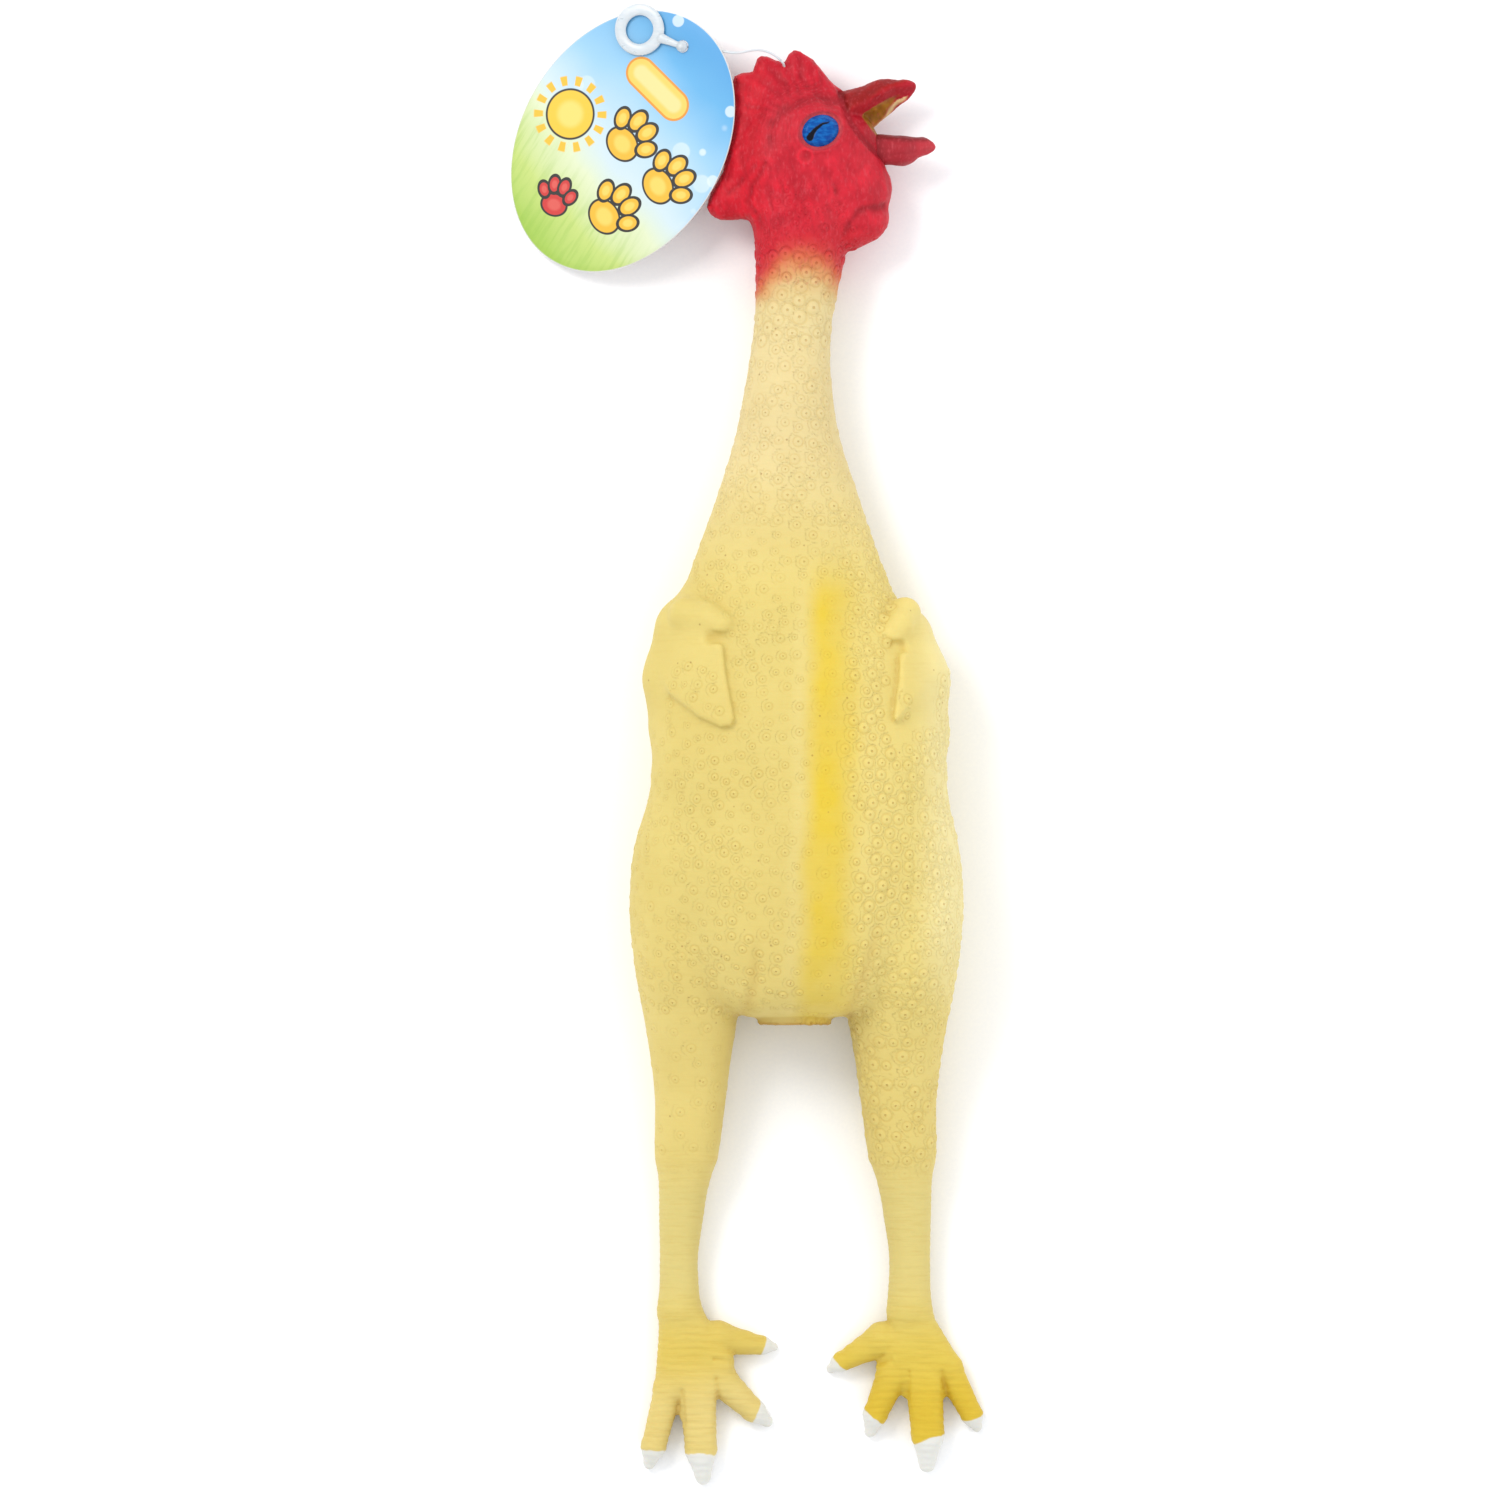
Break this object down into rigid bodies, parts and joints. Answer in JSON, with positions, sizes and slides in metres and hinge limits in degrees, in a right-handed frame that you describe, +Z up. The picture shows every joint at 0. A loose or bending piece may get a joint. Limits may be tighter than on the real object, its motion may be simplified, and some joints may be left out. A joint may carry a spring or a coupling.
{
  "type": "rubber chicken",
  "caption": "Hollow latex toy chicken that bends at its neck and legs, with a squeaker in its vent and an oval card tag hung from its comb.",
  "frame": {"origin": "on the surface the toy lies on, under the middle of its flat back", "axes": "+Z up from that surface through the belly, +Y towards the head, +X towards the side the beak points to"},
  "size_m": [0.1512, 0.4733, 0.0645],
  "materials": {
    "body_latex": "semi-gloss pale yellow latex moulded with pimples and pores",
    "red_latex": "semi-gloss latex airbrushed red",
    "beak_latex": "glossy dark red latex",
    "foot_latex": "semi-gloss latex airbrushed deeper yellow",
    "claw_paint": "white paint on latex",
    "eye_paint": "glossy blue paint on latex with a black slit",
    "squeaker_plastic": "white moulded plastic",
    "reed_film": "clear plastic film",
    "clear_nylon": "translucent moulded nylon",
    "tag_card": "glossy printed card"
  },
  "bodies": {
    "torso": {"torso_skin": "body_latex", "belly_fold": "body_latex", "neck_base_fold": "body_latex", "left_hip_fold": "body_latex", "right_hip_fold": "body_latex", "squeaker_barrel": "squeaker_plastic", "squeaker_cap": "squeaker_plastic", "reed_block": "squeaker_plastic", "squeaker_reed": "reed_film"},
    "belly": {"belly_panel": "body_latex"},
    "neck_lower": {"neck_lower_skin": "body_latex", "neck_mid_fold": "body_latex"},
    "neck_upper": {"neck_upper_skin": "body_latex", "neck_top_fold": "body_latex"},
    "head": {"head_skin": "red_latex", "eyes": "eye_paint"},
    "jaw": {"lower_beak": "beak_latex"},
    "left_thigh": {"left_thigh_skin": "body_latex", "left_hock_fold": "body_latex"},
    "left_shank": {"left_shank_skin": "body_latex", "left_ankle_fold": "body_latex"},
    "left_foot": {"left_foot_skin": "foot_latex", "left_claws": "claw_paint"},
    "right_thigh": {"right_thigh_skin": "body_latex", "right_hock_fold": "body_latex"},
    "right_shank": {"right_shank_skin": "body_latex", "right_ankle_fold": "body_latex"},
    "right_foot": {"right_foot_skin": "foot_latex", "right_claws": "claw_paint"},
    "fastener": {"tag_fastener": "clear_nylon"},
    "tag": {"hang_tag": "tag_card"}
  },
  "joints": [
    {"name": "belly_press", "type": "slide", "parent": "torso", "child": "belly", "axis": [0, 0, -1], "range_m": [0, 0.014], "stiffness_N_per_m": 600, "deforming": ["belly_fold"]},
    {"name": "neck_base_bend", "type": "hinge", "parent": "torso", "child": "neck_lower", "pos_m": [-0.0041, 0.074, 0.0223], "axis": [1, 0, 0], "range_deg": [-40, 50], "stiffness_Nm_per_rad": 3.6, "deforming": ["neck_base_fold"]},
    {"name": "neck_mid_bend", "type": "hinge", "parent": "neck_lower", "child": "neck_upper", "pos_m": [-0.004, 0.112, 0.0185], "axis": [0, 0, 1], "range_deg": [-45, 45], "stiffness_Nm_per_rad": 1.8, "deforming": ["neck_mid_fold"]},
    {"name": "head_nod", "type": "hinge", "parent": "neck_upper", "child": "head", "pos_m": [-0.0016, 0.156, 0.0161], "axis": [0, 0, 1], "range_deg": [-40, 40], "stiffness_Nm_per_rad": 0.9, "deforming": ["neck_top_fold"]},
    {"name": "jaw_open", "type": "hinge", "parent": "head", "child": "jaw", "pos_m": [0.025, 0.2082, 0.016], "axis": [0, 0, -1], "range_deg": [-12, 15], "stiffness_Nm_per_rad": 0.05},
    {"name": "left_hip_bend", "type": "hinge", "parent": "torso", "child": "left_thigh", "pos_m": [-0.035, -0.082, 0.017], "axis": [1, 0, 0], "range_deg": [-60, 40], "stiffness_Nm_per_rad": 0.9, "deforming": ["left_hip_fold"]},
    {"name": "left_hock_bend", "type": "hinge", "parent": "left_thigh", "child": "left_shank", "pos_m": [-0.0369, -0.12, 0.0106], "axis": [1, 0, 0], "range_deg": [-60, 60], "stiffness_Nm_per_rad": 0.35, "deforming": ["left_hock_fold"]},
    {"name": "left_ankle_bend", "type": "hinge", "parent": "left_shank", "child": "left_foot", "pos_m": [-0.0387, -0.156, 0.007], "axis": [1, 0, 0], "range_deg": [-30, 30], "stiffness_Nm_per_rad": 0.15, "deforming": ["left_ankle_fold"]},
    {"name": "right_hip_bend", "type": "hinge", "parent": "torso", "child": "right_thigh", "pos_m": [0.0314, -0.082, 0.017], "axis": [1, 0, 0], "range_deg": [-60, 40], "stiffness_Nm_per_rad": 0.9, "deforming": ["right_hip_fold"]},
    {"name": "right_hock_bend", "type": "hinge", "parent": "right_thigh", "child": "right_shank", "pos_m": [0.0333, -0.12, 0.0106], "axis": [1, 0, 0], "range_deg": [-60, 60], "stiffness_Nm_per_rad": 0.35, "deforming": ["right_hock_fold"]},
    {"name": "right_ankle_bend", "type": "hinge", "parent": "right_shank", "child": "right_foot", "pos_m": [0.0351, -0.156, 0.007], "axis": [1, 0, 0], "range_deg": [-30, 30], "stiffness_Nm_per_rad": 0.15, "deforming": ["right_ankle_fold"]},
    {"name": "fastener_swing", "type": "hinge", "parent": "head", "child": "fastener", "pos_m": [-0.0046, 0.2315, 0.016], "axis": [0, 0, 1], "range_deg": [-90, 4]},
    {"name": "tag_swing", "type": "hinge", "parent": "fastener", "child": "tag", "pos_m": [-0.0374, 0.2406, 0.0184], "axis": [-0.309, 0, 0.9511], "range_deg": [-40, 4]}
  ]
}
